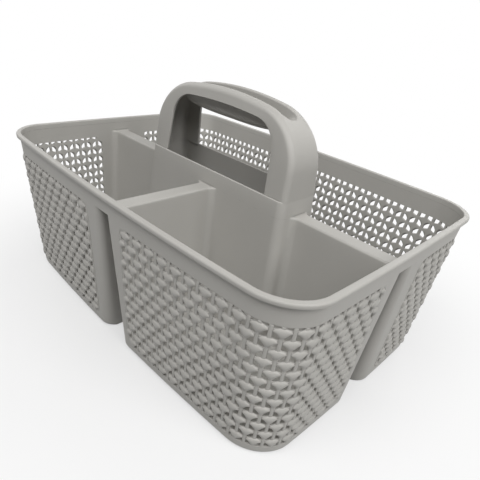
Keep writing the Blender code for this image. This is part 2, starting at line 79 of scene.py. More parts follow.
OPENING_CROWN_RADIUS = 0.480
OPENING_CORNER_RADIUS = 0.023
LEG_LEAN_SHARE = 0.04
OPENING_LEAN_SHARE = 0.07
HANDLE_DRAFT_SHARE = 0.08
GRIP_LENGTH = 0.136
GRIP_WIDTH = 0.019
GRIP_DEPTH = 0.026
GRIP_END_DEPTH = 0.006
GRIP_WALL = 0.002

# Details that only the looks have
FILLET = 0.0065
WELL_END_FILLET = 0.006
FLOOR_FILLET = 0.004
DIVIDER_EDGE = 0.0019
WELL_EDGE = 0.0008
FIELD_FOOT = 0.009
FIELD_HEAD = 0.1248
FIELD_CORNER = 0.009
PLATE_DEPTH = 0.00025
WELD = 0.00002
SHARP_ANGLE = 38
HOLE_DROP = 0.00175
BEAD_ROWS = 13
REFERENCE_HEIGHT = 0.118
REFERENCE_PITCH = 0.0072
SEAT_LAP = 0.0001
RIM_LAP = 0.0002
COLLAR_MIDDLE = 0.134
RIM_FLAT_HALF = 0.0006
RIM_INNER_EDGE = 0.0008
RIM_OUTER_EDGE = 0.0017
RIM_UNDER_EDGE = 0.0006
# The small hollow where the lip's underside meets the collar, as shares outwards and down
RIM_HOLLOW = 0.0008
RIM_HOLLOW_SHARES = [(1, 0), (0.375, 0.125), (0, 0.625)]
WELL_INSET = 0.00005
HANDLE_SINK = 0.0006
FLANGE_TIP = 0.0008
CHANNEL_BEND = 0.003
PATCH_HALF = 0.074
GRIP_LIP = 0.0016
GRIP_SIDE_DRAFT = 0.0010
GRIP_END_SLOPE = 0.006
GRIP_FLOOR_FILLET = 0.0045
GRIP_UNDER_FILLET = 0.0055
GRIP_FILLET_SHARE = 0.4
TROUGH_LAP = 0.0004
TROUGH_EASE = 0.002
TROUGH_END_SLOPE = 0.004
# Outside of the trough's walls: share of the depth and inset
TROUGH_WALL = [(0, -0.0002), (0.5, 0.0004), (0.8, 0.0012)]
# Reach of the painted shade that darkens the colour in crevices
PAINTED_SHADE_REACH = 0.0035
GRAIN_DEPTH = 0.0002

# The studio: each lamp is name, azimuth and elevation in degrees, watts
LAMP_SIZE = 0.9
LAMP_DISTANCE = 1.8
LAMP_TARGET_HEIGHT = 0.08
LAMPS = [("front_box", 0, 54, 14), ("corner_box", 50, 52, 9.5), ("right_box", 90, 38, 14),
         ("back_box", 180, 28, 7), ("left_box", 270, 28, 4)]
FILL_STRENGTH = 0.02
FLOOR_REACH = 6.0
FLOOR_DROP = 0.0004
RUN_OUT_START = 0.10
RUN_OUT_END = 0.42

# The photograph's view, from about 90 points on its edges
VIEW_ANGLES = (42.4644, 27.0801, -7.6451)
VIEW_PLACE = (0.27806, -0.28751, 0.27699)
VIEW_LENS = 33.2616
VIEW_SENSOR = 36
VIEW_SHIFT = (0.02067, -0.01146)


def mix(low, high, share):
    return low + (high - low) * share


def quarter_turn(steps):
    return np.linspace(0, math.pi / 2, steps)


def new_object(name, data):
    item = bpy.data.objects.new(name, data)
    bpy.context.scene.collection.objects.link(item)
    return item


class Skin:
    """Grids of points gathered into one mesh. A face of each grid is turned to a hint, and the rest follow."""

    def __init__(self):
        self.points = []
        self.quads = []
        self.total = 0

    def grids(self, blocks, toward, wrap=False, keep=None, middle_face=False):
        """Blocks has the shape count, rows, columns, 3. The first or the middle face looks toward the hint."""
        blocks = np.asarray(blocks, float)
        count, rows, columns, _ = blocks.shape
        index = np.arange(count * rows * columns).reshape(count, rows, columns) + self.total
        self.total += index.size
        self.points.append(blocks.reshape(-1, 3))
        if wrap:
            index = np.concatenate([index, index[:, :, :1]], axis=2)
        quads = np.stack([index[:, :-1, :-1], index[:, :-1, 1:], index[:, 1:, 1:], index[:, 1:, :-1]], axis=-1)
        i, j = ((rows - 1) // 2, (columns - 1) // 2) if middle_face else (0, 0)
        normal = np.cross(blocks[0, i, j + 1] - blocks[0, i, j], blocks[0, i + 1, j] - blocks[0, i, j])
        if np.dot(normal, toward) < 0:
            quads = quads[..., ::-1]
        if keep is not None:
            quads = quads[np.broadcast_to(keep, quads.shape[:3])]
        self.quads.append(quads.reshape(-1, 4))

    def grid(self, rows, toward=None, wrap=False, keep=None):
        self.grids(np.asarray(rows, float)[None], toward, wrap, None if keep is None else keep[None])

    def polygon(self, outline, toward):
        """A flat face with many corners, cut into triangles."""
        outline = np.asarray(outline, float)
        triangles = np.array(tessellate_polygon([[Vector(p) for p in outline]]))
        corners = outline[triangles[0]]
        normal = np.cross(corners[1] - corners[0], corners[2] - corners[0])
        if np.dot(normal, toward) < 0:
            triangles = triangles[:, ::-1]
        self.points.append(outline)
        self.quads.append(triangles + self.total)
        self.total += len(outline)

    def piece(self, name, material, nodes):
        mesh = bpy.data.meshes.new(name)
        faces = [face for block in self.quads for face in block.tolist()]
        mesh.from_pydata(np.concatenate(self.points).tolist(), [], faces)
        work = bmesh.new()
        work.from_mesh(mesh)
        bmesh.ops.remove_doubles(work, verts=work.verts, dist=WELD)
        bmesh.ops.dissolve_degenerate(work, edges=work.edges, dist=WELD / 4)
        work.to_mesh(mesh)
        work.free()
        mesh.validate()
        mesh.shade_smooth()
        mesh.set_sharp_from_angle(angle=math.radians(SHARP_ANGLE))
        item = new_object(name, mesh)
        mesh.materials.append(material)
        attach(item, "root")
        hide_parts(*nodes)
        return item


def shell_size(z):
    """Half length, half width and corner radius of the outer wall at a height."""
    share = z / BODY_HEIGHT
    return (mix(BASE_LENGTH / 2, RIM_LENGTH / 2 - RIM_OVERHANG, share),
            mix(BASE_WIDTH / 2, RIM_WIDTH / 2 - RIM_OVERHANG, share),
            mix(BASE_CORNER_RADIUS, RIM_CORNER_RADIUS - RIM_OVERHANG, share))


def bowed(x, y, z):
    """The sides swell a little towards their middles."""
    half_length, half_width, _ = shell_size(z)
    across = (x / half_length) ** 2 * (y / half_width) ** 2
    bent = x * (1 - SHORT_SIDE_BOW / half_length * across), y * (1 - LONG_SIDE_BOW / half_width * across)
    return np.stack([*bent, np.broadcast_to(z, np.shape(x))], axis=-1)


def divider_half(z):
    """Half of a divider's thickness, which grows downwards with its draft."""
    return DIVIDER_WIDTH / 2 + DIVIDER_DRAFT * (DIVIDER_TOP - z)


def groove_half(z):
    return divider_half(z) - WALL


def groove_corner(z):
    return mix(GROOVE_FOOT_CORNER_RADIUS, GROOVE_CORNER_RADIUS, z / DIVIDER_TOP)


def well_size(z):
    grown = DIVIDER_DRAFT * (BODY_HEIGHT - z)
    return WELL_LENGTH / 2 + grown, WELL_WIDTH / 2 + grown


def right_of(way):
    return np.array([way[1], -way[0]])


def plan(corners, closed=True):
    """Points and outward normals of a plan with rounded right-angled corners, material on its left.

    A corner is x, y, radius, arc steps, stops of the run after it as coordinate and steps, run steps.
    """
    points, normals = [], []
    count = len(corners)
    for i, (x, y, radius, steps, stops, run) in enumerate(corners):
        here = np.array([x, y])
        after = corners[(i + 1) % count]
        ahead = np.array(after[:2]) - here
        ahead = ahead / np.linalg.norm(ahead)
        behind = here - np.array(corners[i - 1][:2])
        behind = behind / np.linalg.norm(behind)
        last = not closed and i == count - 1
        first = not closed and i == 0
        if first or last:
            way = ahead if first else behind
            points.append(here)
            normals.append(right_of(way))
        else:
            for k in range(steps + 1):
                angle = math.pi / 2 * k / steps
                turn = -ahead * math.cos(angle) + behind * math.sin(angle)
                points.append(here + radius * (ahead - behind) + radius * turn)
                normals.append(right_of(behind) * math.cos(angle) + right_of(ahead) * math.sin(angle))
        if last:
            continue
        axis = 0 if abs(ahead[0]) > 0.5 else 1
        start = points[-1]
        reach = 0 if not closed and i == count - 2 else after[2]
        goal = np.array(after[:2]) - ahead * reach
        side = right_of(ahead)
        for value, stop_steps in stops:
            stop = start.copy()
            stop[axis] = value
            for k in range(1, stop_steps + 1):
                points.append(mix(start, stop, k / stop_steps))
                normals.append(side)
            start = stop
        for k in range(1, run):
            points.append(mix(start, goal, k / run))
            normals.append(side)
    return np.array(points), np.array(normals)


def loft(corners_at, levels, closed=True):
    """Rows of points: each level is an inset, one for all or one per station, and a height."""
    rows = []
    for inset, z in levels:
        points, normals = plan(corners_at(z), closed)
        moved = points - normals * (np.asarray(inset, float).reshape(-1, 1) if np.ndim(inset) else inset)
        rows.append(bowed(moved[:, 0], moved[:, 1], z))
    return np.array(rows)


def front_inner(z):
    """Inside of the front right bin: well wall, cross divider, outer walls, right divider, well end."""
    half_length, half_width, radius = shell_size(z)
    well_x, well_y = well_size(z)
    side = divider_half(z)
    return [(side, -well_y, FILLET, 8, [], 10),
            (side, WALL - half_width, FILLET, 8, [(FIELD_EDGE, 2)], 8),
            (half_length - WALL, WALL - half_width, radius - WALL, 16, [(-FIELD_EDGE, 6)], 2),
            (half_length - WALL, -side, FILLET, 8, [], 8),
            (well_x, -side, WELL_END_FILLET, 8, [], 1),
            (well_x, -well_y, WELL_CORNER_RADIUS, 8, [], 8)]


def back_inner(z):
    """Inside of the long back bin."""
    half_length, half_width, radius = shell_size(z)
    well_x, well_y = well_size(z)
    side = divider_half(z)
    return [(half_length - WALL, side, FILLET, 8, [(BACK_FIELD_EDGE, 2)], 6),
            (half_length - WALL, half_width - WALL, radius - WALL, 16, [], 20),
            (WALL - half_length, half_width - WALL, radius - WALL, 16, [(BACK_FIELD_EDGE, 6)], 2),
            (WALL - half_length, side, FILLET, 8, [], 8),
            (-well_x, side, WELL_END_FILLET, 8, [], 1),
            (-well_x, well_y, WELL_CORNER_RADIUS, 8, [], 16),
            (well_x, well_y, WELL_CORNER_RADIUS, 8, [], 1),
            (well_x, side, WELL_END_FILLET, 8, [], 8)]


def front_outer(z):
    """Outside of the front right bin, from the well along the groove and round to the well's end."""
    half_length, half_width, radius = shell_size(z)
    well_x, well_y = well_size(z)
    side = groove_half(z)
    corner = groove_corner(z)
    return [(side, -well_y, 0, 0, [], 8),
            (side, -half_width, corner, 8, [(FIELD_EDGE, 2)], 8),
            (half_length, -half_width, radius, 16, [(-FIELD_EDGE, 6)], 2),
            (half_length, -side, corner, 8, [], 6),
            (well_x, -side, 0, 0, [], 0)]


def back_outer(z):
    """Outside of the long back bin, from the well's right end round to its left end."""
    half_length, half_width, radius = shell_size(z)
    well_x, _ = well_size(z)
    side = groove_half(z)
    corner = groove_corner(z)
    return [(well_x, side, 0, 0, [], 6),
            (half_length, side, corner, 8, [(BACK_FIELD_EDGE, 2)], 6),
            (half_length, half_width, radius, 16, [], 20),
            (-half_length, half_width, radius, 16, [(BACK_FIELD_EDGE, 6)], 2),
            (-half_length, side, corner, 8, [], 6),
            (-well_x, side, 0, 0, [], 0)]


def shell_loop(z):
    """The whole basket's outer wall, without the grooves."""
    half_length, half_width, radius = shell_size(z)
    return [(half_length, -half_width, radius, 18, [], 16), (half_length, half_width, radius, 18, [], 24),
            (-half_length, half_width, radius, 18, [], 16), (-half_length, -half_width, radius, 18, [], 24)]


def well_loop(z):
    """The well's outside, with stops where the cross divider's groove meets it."""
    well_x, well_y = well_size(z)
    side = groove_half(min(z, COLLAR_BASE))
    return [(well_x, -well_y, WELL_CORNER_RADIUS, 8, [], 2), (well_x, well_y, WELL_CORNER_RADIUS, 8, [], 4),
            (-well_x, well_y, WELL_CORNER_RADIUS, 8, [], 2),
            (-well_x, -well_y, WELL_CORNER_RADIUS, 8, [(-side, 4), (side, 1)], 4)]


WALL_LEVELS = [0.030, 0.060, 0.090, 0.110]
SIDE_LEVELS = [FIELD_FOOT, *WALL_LEVELS, FIELD_HEAD, DIVIDER_TOP - DIVIDER_EDGE]


def station(corners, corner, past_arc=0):
    """Number of a corner's first station, or of one further along it."""
    return past_arc + sum(steps + 1 + sum(count for _, count in stops) + max(run - 1, 0)
                          for _, _, _, steps, stops, run in corners[:corner])


def field_station(corners, corner):
    """The station at the first stop after a corner, where a woven field or an opening begins or ends."""
    return station(corners, corner, corners[corner][3] + corners[corner][4][0][1])


def field_gap(corners, first, last, columns, levels):
    """Which faces stay when the woven field's part is left open. First and last are its corner numbers."""
    start, end = field_station(corners, first), field_station(corners, last)
    keep = np.ones((len(levels) - 1, columns), bool)
    for row in range(len(levels) - 1):
        if levels[row][1] >= FIELD_FOOT - 1e-6 and levels[row + 1][1] <= FIELD_HEAD + 1e-6:
            keep[row, start:end] = False
    return keep


def mirrored(rows, axis):
    turned = np.array(rows)
    turned[..., axis] *= -1
    return turned


def inner_levels(rounded):
    """Floor fillet, walls and the round edge of the divider tops. Rounded has a share for each station."""
    angles = quarter_turn(7)
    levels = [(FLOOR_FILLET * (1 - math.sin(a)), WALL + FLOOR_FILLET * (1 - math.cos(a))) for a in angles]
    levels += [(0, z) for z in SIDE_LEVELS]
    edge = rounded * DIVIDER_EDGE
    levels += [(-edge * (1 - math.cos(a)), DIVIDER_TOP - DIVIDER_EDGE * (1 - math.sin(a))) for a in angles[1:]]
    levels.append((-edge - rounded * RIM_LAP, DIVIDER_TOP))
    return levels


def rounding_shares(corners, spans):
    """How far each station's edge is rounded: fully between two corners, fading out over their arcs."""
    total = station(corners, len(corners))
    shares = np.zeros(total)
    for first, last in spans:
        start, stop = station(corners, first), station(corners, last)
        steps = corners[first][3]
        stop_at = stop if last > first else stop + total
        for number in range(start + steps, stop_at + 1):
            shares[number % total] = 1
        for k in range(steps + 1):
            shares[start + k] = math.sin(math.pi / 2 * k / steps)
        steps = corners[last][3]
        for k in range(steps + 1):
            shares[(stop + k) % total] = math.cos(math.pi / 2 * k / steps)
    return shares


def outer_levels(shares):
    """The foot's rounding and the walls up to the collar."""
    angles = quarter_turn(8)
    levels = [(shares * FOOT_RADIUS * (1 - math.sin(a)), FOOT_RADIUS * (1 - math.cos(a))) for a in angles]
    return levels + [(0, z) for z in SIDE_LEVELS[:-1]] + [(0, COLLAR_BASE)]


def underside_arc(front):
    """The floor's edge round the well's corners, which closes the underside's outline."""
    well_x, well_y = well_size(0)
    radius = WELL_CORNER_RADIUS
    arc = [(well_x - radius + radius * math.cos(a), radius - well_y - radius * math.sin(a), 0)
           for a in quarter_turn(9)]
    if front:
        return arc
    return [(-x, -y, z) for x, y, z in arc] + [(x, -y, z) for x, y, z in reversed(arc)]


def bin_piece(name, inner_at, inner_spans, inner_field, outer_at, outer_ends, mirror, nodes, material):
    """A bin: its smooth inside with floor, the borders outside, the groove faces and the underside."""
    skin = Skin()
    front = outer_at is front_outer
    corners = inner_at(0)
    levels = inner_levels(rounding_shares(corners, inner_spans))
    inner = loft(inner_at, levels)
    keep = field_gap(corners, *inner_field, inner.shape[1], levels)
    corners = outer_at(0)
    levels = outer_levels(rounding_shares(corners, [outer_ends]))
    outer = loft(outer_at, levels, closed=False)
    outer_keep = field_gap(corners, outer_ends[0], outer_ends[1] - 1, outer.shape[1] - 1, levels)
    underside = np.concatenate([outer[0], underside_arc(front)])
    if mirror:
        inner, outer, underside = mirrored(inner, 0), mirrored(outer, 0), mirrored(underside, 0)
    skin.grid(inner, (0, 0, 1), wrap=True, keep=keep)
    skin.polygon(inner[0], (0, 0, 1))
    side_way = (1, 0, 0) if mirror else (-1, 0, 0)
    skin.grid(outer, side_way if front else (0, -1, 0), keep=outer_keep)
    skin.polygon(underside, (0, 0, -1))
    skin.piece(name, material, nodes)
    return inner, outer


def ladder(skin, rail, axis, toward, across=6):
    """A flat strip from a row of points to its mirror image."""
    other = mirrored(rail, axis)
    strip = np.array([mix(other, rail, k / across) for k in range(across + 1)])
    skin.grids(strip[None], toward, middle_face=True)


def divider_rail(inner, corners, first, last):
    """The top edge of a bin's inside between two of its corners."""
    start = station(corners, first)
    stop = station(corners, last, corners[last][3])
    return inner[-1][start:stop + 1]


def build_body(material):
    """The three bins, and the flat tops and closed groove heads between them."""
    front_nodes = {side: [f"front_{side}_floor", f"cross_divider_{side}_leaf", f"{side}_divider_front_leaf"]
                   for side in ("left", "right")}
    inner, outer = bin_piece("front_right_bin", front_inner, [(0, 1), (3, 4)], (1, 2), front_outer, (1, 3),
                             False, front_nodes["right"], material)
    bin_piece("front_left_bin", front_inner, [(0, 1), (3, 4)], (1, 2), front_outer, (1, 3),
              True, front_nodes["left"], material)
    bin_piece("back_bin", back_inner, [(7, 0), (3, 4)], (0, 2), back_outer, (1, 4),
              False, ["back_floor", "left_divider_back_leaf", "right_divider_back_leaf"], material)
    tops = Skin()
    inside, outside = front_inner(0), front_outer(0)
    middle_groove = outer[-1][:station(outside, 1, outside[1][3]) + 1]
    for way, middle, side in ((1, divider_rail(inner, inside, 0, 1), divider_rail(inner, inside, 3, 4)),
                              (-1, middle_groove, outer[-1][station(outside, 3):])):
        ladder(tops, middle, 0, (0, 0, way))
        ladder(tops, side, 1, (0, 0, way))
        ladder(tops, mirrored(side, 0), 1, (0, 0, way))
    tops.piece("divider_tops", material, ["cross_divider_cap", "left_divider_cap", "right_divider_cap"])


def arc_levels(centre_inset, centre_z, radius, first, last, steps=6):
    """Levels round an arc of the cross-section; angle 0 points outwards and 90 up."""
    return [(centre_inset - radius * math.cos(math.radians(a)), centre_z + radius * math.sin(math.radians(a)))
            for a in np.linspace(first, last, steps)]


def build_rim(material):
    """The smooth collar and the lip on it."""
    collar = Skin()
    head = RIM_BASE + RIM_LAP
    collar.grid(loft(shell_loop, [(0, COLLAR_BASE), (0, COLLAR_MIDDLE), (0, head)]), (1, 0, 0), wrap=True)
    collar.grid(loft(shell_loop, [(WALL, DIVIDER_TOP - SEAT_LAP), (WALL, COLLAR_MIDDLE), (WALL, head)]),
                (-1, 0, 0), wrap=True)
    collar.piece("smooth_collar", material, ["collar"])
    low = BODY_HEIGHT - RIM_LIP_DEPTH
    levels = [(WALL, RIM_BASE)]
    levels += arc_levels(WALL - RIM_INNER_EDGE, BODY_HEIGHT - RIM_INNER_EDGE, RIM_INNER_EDGE, 180, 92, 7)
    levels += [(RIM_FLAT_HALF, BODY_HEIGHT), (-RIM_FLAT_HALF, BODY_HEIGHT)]
    levels += arc_levels(RIM_OUTER_EDGE - RIM_OVERHANG, BODY_HEIGHT - RIM_OUTER_EDGE, RIM_OUTER_EDGE, 88, 0, 10)
    levels += arc_levels(RIM_UNDER_EDGE - RIM_OVERHANG, low + RIM_UNDER_EDGE, RIM_UNDER_EDGE, 0, -90, 5)
    levels += [(-out * RIM_HOLLOW, low - down * RIM_HOLLOW) for out, down in RIM_HOLLOW_SHARES]
    levels.append((0, RIM_BASE))
    rim = Skin()
    rim.grid(loft(shell_loop, levels), (-1, 0, 0), wrap=True)
    rim.piece("rim_lip", material, ["rim"])


def build_well(material):
    """The well under the handle: walls with both faces, open where the front groove runs into it."""
    well = Skin()
    low_levels = [0, *WALL_LEVELS, COLLAR_BASE]
    start = field_station(well_loop(0), 3)
    outer = loft(well_loop, [(WELL_INSET, z) for z in low_levels])
    inner = loft(well_loop, [(WALL, z) for z in low_levels])
    keep = np.ones((len(low_levels) - 1, outer.shape[1]), bool)
    keep[:, start] = False
    well.grid(outer, (1, 0, 0), wrap=True, keep=keep)
    well.grid(inner, (-1, 0, 0), wrap=True, keep=keep)
    well.grid([outer[0], inner[0]], (0, 0, -1), wrap=True, keep=keep[:1])
    for number, way in ((start, 1), (start + 1, -1)):
        well.grid([outer[:, number], inner[:, number]], (way, 0, 0))
    well.grid([outer[-1][start:start + 2], inner[-1][start:start + 2]], (0, 0, -1))
    levels = [(WELL_INSET, COLLAR_BASE), (0, DIVIDER_TOP - SEAT_LAP), (0, BODY_HEIGHT - WELL_EDGE)]
    levels += arc_levels(WELL_EDGE, BODY_HEIGHT - WELL_EDGE, WELL_EDGE, 0, 90, 6)[1:]
    levels += arc_levels(WALL - WELL_EDGE, BODY_HEIGHT - WELL_EDGE, WELL_EDGE, 90, 180, 6)
    levels += [(WALL, DIVIDER_TOP), (WALL, COLLAR_BASE)]
    well.grid(loft(well_loop, levels), (1, 0, 0), wrap=True)
    well.piece("handle_well", material,
               ["well_front_wall", "well_back_wall", "well_left_end", "well_right_end"])


def smooth_step(value, low, high):
    share = np.clip((value - low) / (high - low), 0, 1)
    return share * share * (3 - 2 * share)


# Outline of a leaf-shaped hole beside a bead on its left, in millimetres from the cell's middle
LEAF = [(2.30, 3.10), (0.70, 3.15), (-0.80, 2.75), (-1.95, 1.65), (-2.50, 0.10), (-2.55, -1.35),
        (-2.50, -3.05), (-1.10, -3.20), (0.65, -2.95), (1.95, -1.95), (2.50, -0.40), (2.55, 1.35)]

# Half of a bead, in millimetres: along, lower edge, upper edge, crest
BEAD = [(5.95, 1.60, 2.30, -0.35), (5.85, 1.20, 2.80, 0.10), (5.55, 0.95, 3.25, 0.42),
        (5.00, 0.75, 3.65, 0.66), (4.30, 0.45, 4.00, 0.88), (3.60, -0.10, 4.25, 1.06),
        (2.90, -0.90, 4.50, 1.22), (2.15, -1.90, 4.75, 1.36), (1.30, -2.75, 4.90, 1.46),
        (0, -3.15, 4.95, 1.50)]

# Half of a post's cross-section, in millimetres: along and out from the smooth wall
POST = [(-1.50, -1.15), (-1.46, -0.50), (-1.25, -0.05), (-0.80, 0.16), (0, 0.22)]

# Section of the border, in millimetres: growth past the field's outline and depth, first where it is square
BORDER_EDGE = [(0.5, -0.08), (0, 0)]
BORDER_STEP = [(0, 0), (-0.15, -0.08), (-0.30, -0.30), (-0.40, -1.20)]

# Rest of the weave, in metres: what a hole needs, its stops and edges, how deep strands start, posts' ends
MILLIMETRE = 0.001
LEAF_HALF_RISE = 0.0028
LEAST_HOLE_RISE = 0.0015
HOLE_ROOM = 0.0027
CORNER_ROOM = 0.003
FIELD_MIDDLE = (FIELD_FOOT + FIELD_HEAD) / 2
FIELD_RISE = (FIELD_HEAD - FIELD_FOOT) / 2 - FIELD_CORNER
HOLE_STOP_LOW = 0.0006
HOLE_STOP_HIGH = 0.0005
HOLE_EDGE = 0.00015
HOLE_WAIST = 0.0009
HOLE_BACK_EDGE = 0.0003
STRAND_ROOT = -0.00115
STRAND_BACK = -0.0007
POST_END_STOPS = [0, 0.0008, 0.002, 0.005]
POST_FADE = 0.0010
STRAND_FADE = 0.0020


def leaf(scale, lean):
    """A leaf's outline in metres, mirrored where lean is -1."""
    return np.array(LEAF) * MILLIMETRE * scale * (lean, 1)


def cell_rim(half, rise, lean):
    """The cell's edge at the twelve stations that match the leaf's outline."""
    steps = [1, 1 / 3, -1 / 3]
    ring = [(half * k, rise) for k in steps] + [(-half, rise * k) for k in steps]
    ring += [(-half * k, -rise) for k in steps] + [(half, -rise * k) for k in steps]
    return np.array(ring) * (lean, 1)


class WovenWall:
    """A woven field: a thin plate with leaf-shaped holes, upright posts and the beads of the strands."""

    def __init__(self, name, edge, centred, posts, margin, first_bead, row_pitch, mirror, node):
        self.name, self.node = name, node
        self.edge, self.centred, self.mirror = edge, centred, mirror
        self.span = sum(self.run_lengths(REFERENCE_HEIGHT))
        self.low, self.high = (-self.span if centred else 0), self.span
        self.centre, self.half = (self.low + self.high) / 2, (self.high - self.low) / 2 - FIELD_CORNER
        self.posts, self.first_post = posts, self.low + margin
        self.pitch = (self.high - self.low - 2 * margin) / (posts - 1)
        self.widen = self.pitch / REFERENCE_PITCH
        self.first_bead, self.row_pitch = first_bead, row_pitch

    def run_lengths(self, z):
        """Lengths of the field's straight front run, its corner and its side run at a height."""
        half_length, half_width, radius = shell_size(z)
        straight = half_length - radius - (0 if self.centred else self.edge)
        return straight, radius * math.pi / 2, half_width - radius - self.edge

    def place(self, along, z, out):
        """Points of the wall: along in metres at the reference height, out from its smooth surface."""
        _, half_width, radius = shell_size(z)
        straight, arc, side = self.run_lengths(z)
        reach = np.abs(along) * (straight + arc + side) / self.span
        if not self.centred:
            reach = np.where(along < 0, -reach, reach)
        turn = np.clip((reach - straight) / radius, 0, math.pi / 2)
        way_x, way_y = np.sin(turn), -np.cos(turn)
        x = (0 if self.centred else self.edge) + np.minimum(reach, straight) + (radius + out) * way_x
        y = radius - half_width + (radius + out) * way_y + np.maximum(reach - straight - arc, 0)
        points = bowed(x, y, z)
        if self.centred:
            points[..., 0] *= np.where(along < 0, -1, 1)
            points[..., 1] *= -1
        return mirrored(points, 0) if self.mirror else points

    def outward(self, along):
        """A hint that looks away from the basket."""
        flat, proud = self.place(np.full(2, along), np.full(2, FIELD_MIDDLE), np.array([0, MILLIMETRE]))
        return proud - flat

    def inside(self, along, z):
        """Distance inside the field's rounded outline, negative outside."""
        across, upward = np.abs(along - self.centre) - self.half, np.abs(z - FIELD_MIDDLE) - FIELD_RISE
        outside = np.hypot(np.maximum(across, 0), np.maximum(upward, 0))
        return FIELD_CORNER - outside - np.minimum(np.maximum(across, upward), 0)

    def cells(self):
        """Middles of the cells between the posts, with the side of the bead above each, and the plain ones."""
        holes, plain = {-1: [], 1: []}, []
        for row in range(-1, BEAD_ROWS):
            z = self.first_bead - HOLE_DROP - row * self.row_pitch
            for k in range(self.posts - 1):
                middle = self.first_post + (k + 0.5) * self.pitch
                seen = np.clip(z, FIELD_FOOT + CORNER_ROOM, FIELD_HEAD - CORNER_ROOM)
                shown = min(z + LEAF_HALF_RISE, FIELD_HEAD) - max(z - LEAF_HALF_RISE, FIELD_FOOT)
                if self.inside(middle, seen) < HOLE_ROOM or shown < LEAST_HOLE_RISE:
                    plain.append((middle - self.pitch / 2, middle + self.pitch / 2, z))
                else:
                    holes[1 if (k + row) % 2 == 1 else -1].append((middle, z))
            plain.append((self.low, self.first_post, z))
            plain.append((self.first_post + (self.posts - 1) * self.pitch, self.high, z))
        return holes, plain

    def add_plate(self, skin):
        """The plate's two faces and the walls of its holes."""
        holes, plain = self.cells()
        half, rise = self.pitch / 2, self.row_pitch / 2
        # From the cell's edge outside through the hole to its edge inside: the leaf's scale and the depth
        bands = [(None, -PLATE_DEPTH), (1.04, -PLATE_DEPTH), (1.0, -PLATE_DEPTH - HOLE_EDGE), (0.98, -HOLE_WAIST),
                 (1.0, -WALL + HOLE_BACK_EDGE), (1.07, -WALL), (None, -WALL)]
        for lean, middles in holes.items():
            middles = np.array(middles)
            blocks = []
            for scale, depth in bands:
                ring = cell_rim(half, rise, lean) if scale is None else leaf(scale, lean) * (self.widen, 1)
                along = middles[:, :1] + ring[None, :, 0]
                z = np.clip(middles[:, 1:] + ring[None, :, 1], FIELD_FOOT, FIELD_HEAD)
                if scale is not None:
                    z = np.clip(z, FIELD_FOOT + HOLE_STOP_LOW, FIELD_HEAD - HOLE_STOP_HIGH)
                blocks.append(self.place(along, z, np.full(along.shape, depth)))
            skin.grids(np.stack(blocks, axis=1), self.outward(middles[0, 0]), wrap=True)
        for depth, sign in ((-PLATE_DEPTH, 1), (-WALL, -1)):
            for start, stop, z in plain:
                heights = np.linspace(min(z + rise, FIELD_HEAD), max(z - rise, FIELD_FOOT), 4)
                along, heights = np.meshgrid(np.linspace(start, stop, 4), heights)
                if heights[0, 0] - heights[-1, 0] > SEAT_LAP:
                    hint = self.outward((start + stop) / 2) * sign
                    skin.grid(self.place(along, heights, np.full(along.shape, depth)), hint)

    def add_posts(self, skin):
        """The upright posts, which sink into the border at their ends."""
        profile = np.array(POST + [(-u, d) for u, d in reversed(POST[:-1])]) * MILLIMETRE * (self.widen, 1)
        ends = np.array(POST_END_STOPS)
        middle = np.linspace(FIELD_FOOT + FIELD_CORNER, FIELD_HEAD - FIELD_CORNER, 10)
        heights = np.concatenate([FIELD_FOOT + ends, middle, FIELD_HEAD - ends[::-1]])
        centres = self.first_post + np.arange(self.posts) * self.pitch
        along = centres[:, None, None] + profile[None, None, :, 0] + np.zeros((1, len(heights), 1))
        z = np.broadcast_to(heights[None, :, None], along.shape)
        fade = smooth_step(self.inside(along, z), 0, POST_FADE)
        out = STRAND_ROOT + (profile[None, None, :, 1] - STRAND_ROOT) * fade
        skin.grids(self.place(along, z, out), self.outward(centres[0]))

    def add_border(self, skin):
        """The smooth frame round the field, with a small rounded step down to the plate."""
        signs = [(1, 1), (-1, 1), (-1, -1), (1, -1)]
        inner, outer = [], []

        def add(sx, sz, angle, square):
            inner.append((self.centre + sx * self.half, FIELD_MIDDLE + sz * FIELD_RISE,
                          math.cos(angle), math.sin(angle)))
            outer.append((math.cos(angle) / square, math.sin(angle) / square))

        for quarter, (sx, sz) in enumerate(signs):
            for k in range(9):
                angle = math.pi / 2 * (quarter + k / 8)
                add(sx, sz, angle, max(abs(math.cos(angle)), abs(math.sin(angle))))
            steps = (60, 20)[quarter % 2]
            next_sx, next_sz = signs[(quarter + 1) % 4]
            for k in range(1, steps):
                add(mix(sx, next_sx, k / steps), mix(sz, next_sz, k / steps), math.pi / 2 * (quarter + 1), 1)
        inner, outer = np.array(inner), np.array(outer)
        rows = []
        # From the square edge over the rounded corner's rim and down to the plate
        for direction, section in ((outer, BORDER_EDGE), (inner[:, 2:], BORDER_STEP)):
            for grow, depth in np.array(section) * MILLIMETRE:
                along = inner[:, 0] + direction[:, 0] * (FIELD_CORNER + grow)
                z = inner[:, 1] + direction[:, 1] * (FIELD_CORNER + grow)
                rows.append(self.place(along, z, np.full(len(along), depth)))
        skin.grid(rows, self.outward(inner[0, 0]), wrap=True)

